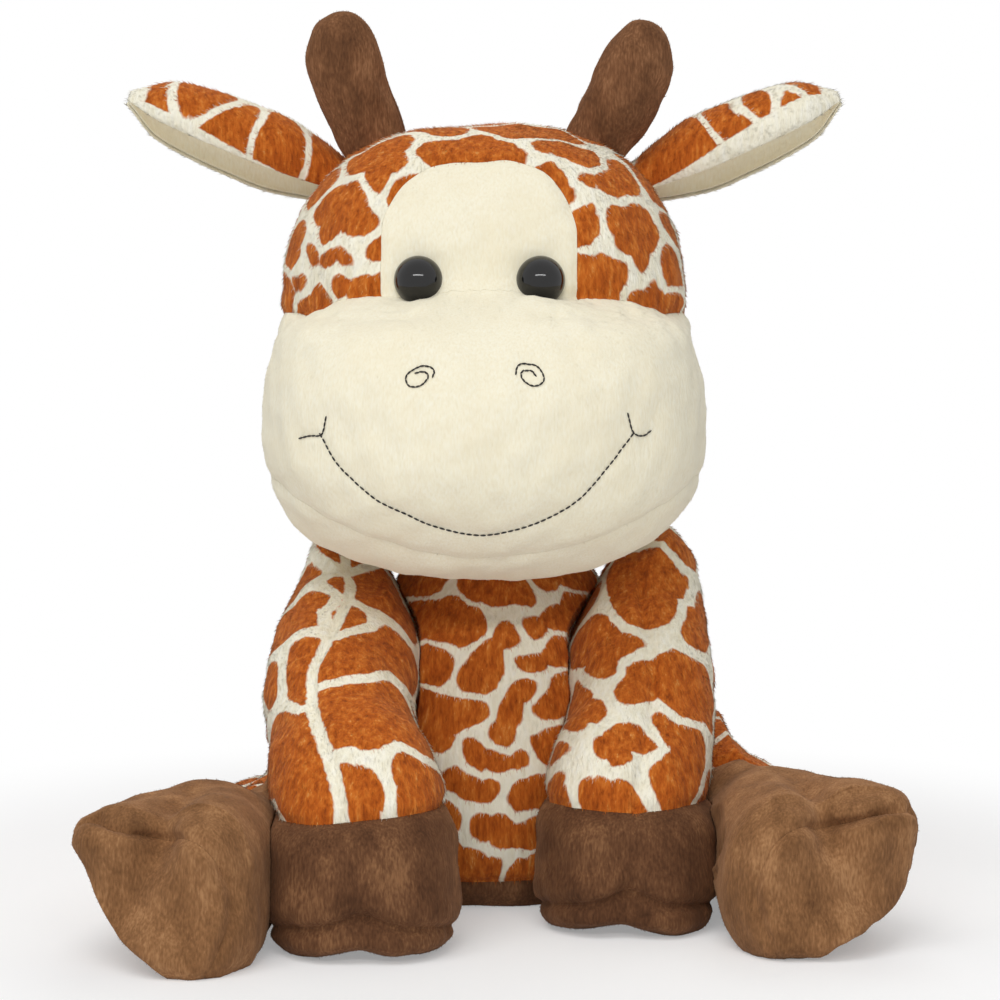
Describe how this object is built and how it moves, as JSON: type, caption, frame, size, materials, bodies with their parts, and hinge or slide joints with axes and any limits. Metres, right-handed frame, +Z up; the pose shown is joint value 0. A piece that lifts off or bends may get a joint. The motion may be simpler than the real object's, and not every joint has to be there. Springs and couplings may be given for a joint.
{
  "type": "plush giraffe",
  "caption": "Seated stuffed giraffe with printed plush covers, cream muzzle, dome eyes, horns, ears, and limbs that swing at their sewn roots.",
  "frame": {"origin": "on the floor plane, in the middle of the flat seat under the torso", "axes": "+Z up, the toy looks along -Y, and its own left side is +X"},
  "size_m": [0.2528, 0.2492, 0.2915],
  "materials": {
    "printed_plush": "matte",
    "cream_plush": "matte",
    "brown_minky": "matte",
    "fibre_fill": "matte",
    "pellet_cloth": "matte",
    "eye_black": "gloss",
    "washer_plastic": "matte"
  },
  "bodies": {
    "torso": {"torso_cover": "printed_plush", "seat_panel": "brown_minky", "torso_stuffing": "fibre_fill", "pellet_bag": "pellet_cloth"},
    "tail": {"tail_cover": "printed_plush", "tail_tuft": "brown_minky"},
    "neck": {"neck": "printed_plush"},
    "head": {"head_crown_cover": "printed_plush", "forehead_panel": "cream_plush", "muzzle_cover": "cream_plush", "chin_panel": "cream_plush", "head_stuffing": "fibre_fill", "right_eye": "eye_black", "right_eye_washer": "washer_plastic", "left_eye": "eye_black", "left_eye_washer": "washer_plastic"},
    "right_horn": {"right_horn_cover": "brown_minky", "right_horn_stuffing": "fibre_fill"},
    "left_horn": {"left_horn_cover": "brown_minky", "left_horn_stuffing": "fibre_fill"},
    "right_ear": {"right_ear_outer": "printed_plush", "right_ear_lining": "cream_plush"},
    "left_ear": {"left_ear_outer": "printed_plush", "left_ear_lining": "cream_plush"},
    "right_foreleg": {"right_foreleg_cover": "printed_plush", "right_fore_hoof": "brown_minky", "right_fore_sole": "brown_minky", "right_foreleg_stuffing": "fibre_fill"},
    "left_foreleg": {"left_foreleg_cover": "printed_plush", "left_fore_hoof": "brown_minky", "left_fore_sole": "brown_minky", "left_foreleg_stuffing": "fibre_fill"},
    "right_hind_leg": {"right_thigh_cover": "printed_plush", "right_hind_hoof": "brown_minky", "right_hind_sole": "brown_minky", "right_hind_stuffing": "fibre_fill"},
    "left_hind_leg": {"left_thigh_cover": "printed_plush", "left_hind_hoof": "brown_minky", "left_hind_sole": "brown_minky", "left_hind_stuffing": "fibre_fill"}
  },
  "joints": [
    {"name": "neck_turn", "type": "hinge", "parent": "torso", "child": "neck", "pos_m": [-0.002, 0.006, 0.116], "axis": [0, 0, 1], "range_deg": [-14, 14], "stiffness_Nm_per_rad": 0.25},
    {"name": "head_nod", "type": "hinge", "parent": "neck", "child": "head", "pos_m": [-0.002, 0.006, 0.116], "axis": [-1, 0, 0], "range_deg": [0, 18], "stiffness_Nm_per_rad": 0.4},
    {"name": "right_shoulder", "type": "hinge", "parent": "torso", "child": "right_foreleg", "pos_m": [-0.046, -0.008, 0.097], "axis": [-1, 0, 0], "range_deg": [-12, 18], "stiffness_Nm_per_rad": 0.08},
    {"name": "left_shoulder", "type": "hinge", "parent": "torso", "child": "left_foreleg", "pos_m": [0.046, -0.008, 0.097], "axis": [-1, 0, 0], "range_deg": [-4, 30], "stiffness_Nm_per_rad": 0.08},
    {"name": "right_hip", "type": "hinge", "parent": "torso", "child": "right_hind_leg", "pos_m": [-0.046, 0.008, 0.03], "axis": [0, 0, -1], "range_deg": [0, 18], "stiffness_Nm_per_rad": 0.08},
    {"name": "left_hip", "type": "hinge", "parent": "torso", "child": "left_hind_leg", "pos_m": [0.046, 0.008, 0.03], "axis": [0, 0, 1], "range_deg": [0, 18], "stiffness_Nm_per_rad": 0.08},
    {"name": "right_ear_flap", "type": "hinge", "parent": "head", "child": "right_ear", "pos_m": [-0.055, 0.006, 0.236], "axis": [0, 1, 0], "range_deg": [-15, 15], "stiffness_Nm_per_rad": 0.03},
    {"name": "left_ear_flap", "type": "hinge", "parent": "head", "child": "left_ear", "pos_m": [0.051, 0.006, 0.236], "axis": [0, -1, 0], "range_deg": [-15, 15], "stiffness_Nm_per_rad": 0.03},
    {"name": "right_horn_bend", "type": "hinge", "parent": "head", "child": "right_horn", "pos_m": [-0.038, 0, 0.244], "axis": [0, 1, 0], "range_deg": [-8, 8], "stiffness_Nm_per_rad": 0.05},
    {"name": "left_horn_bend", "type": "hinge", "parent": "head", "child": "left_horn", "pos_m": [0.028, 0, 0.244], "axis": [0, -1, 0], "range_deg": [-8, 8], "stiffness_Nm_per_rad": 0.05},
    {"name": "tail_swing", "type": "hinge", "parent": "torso", "child": "tail", "pos_m": [0, 0.049, 0.038], "axis": [0, 0, 1], "range_deg": [-30, 30], "stiffness_Nm_per_rad": 0.02}
  ]
}
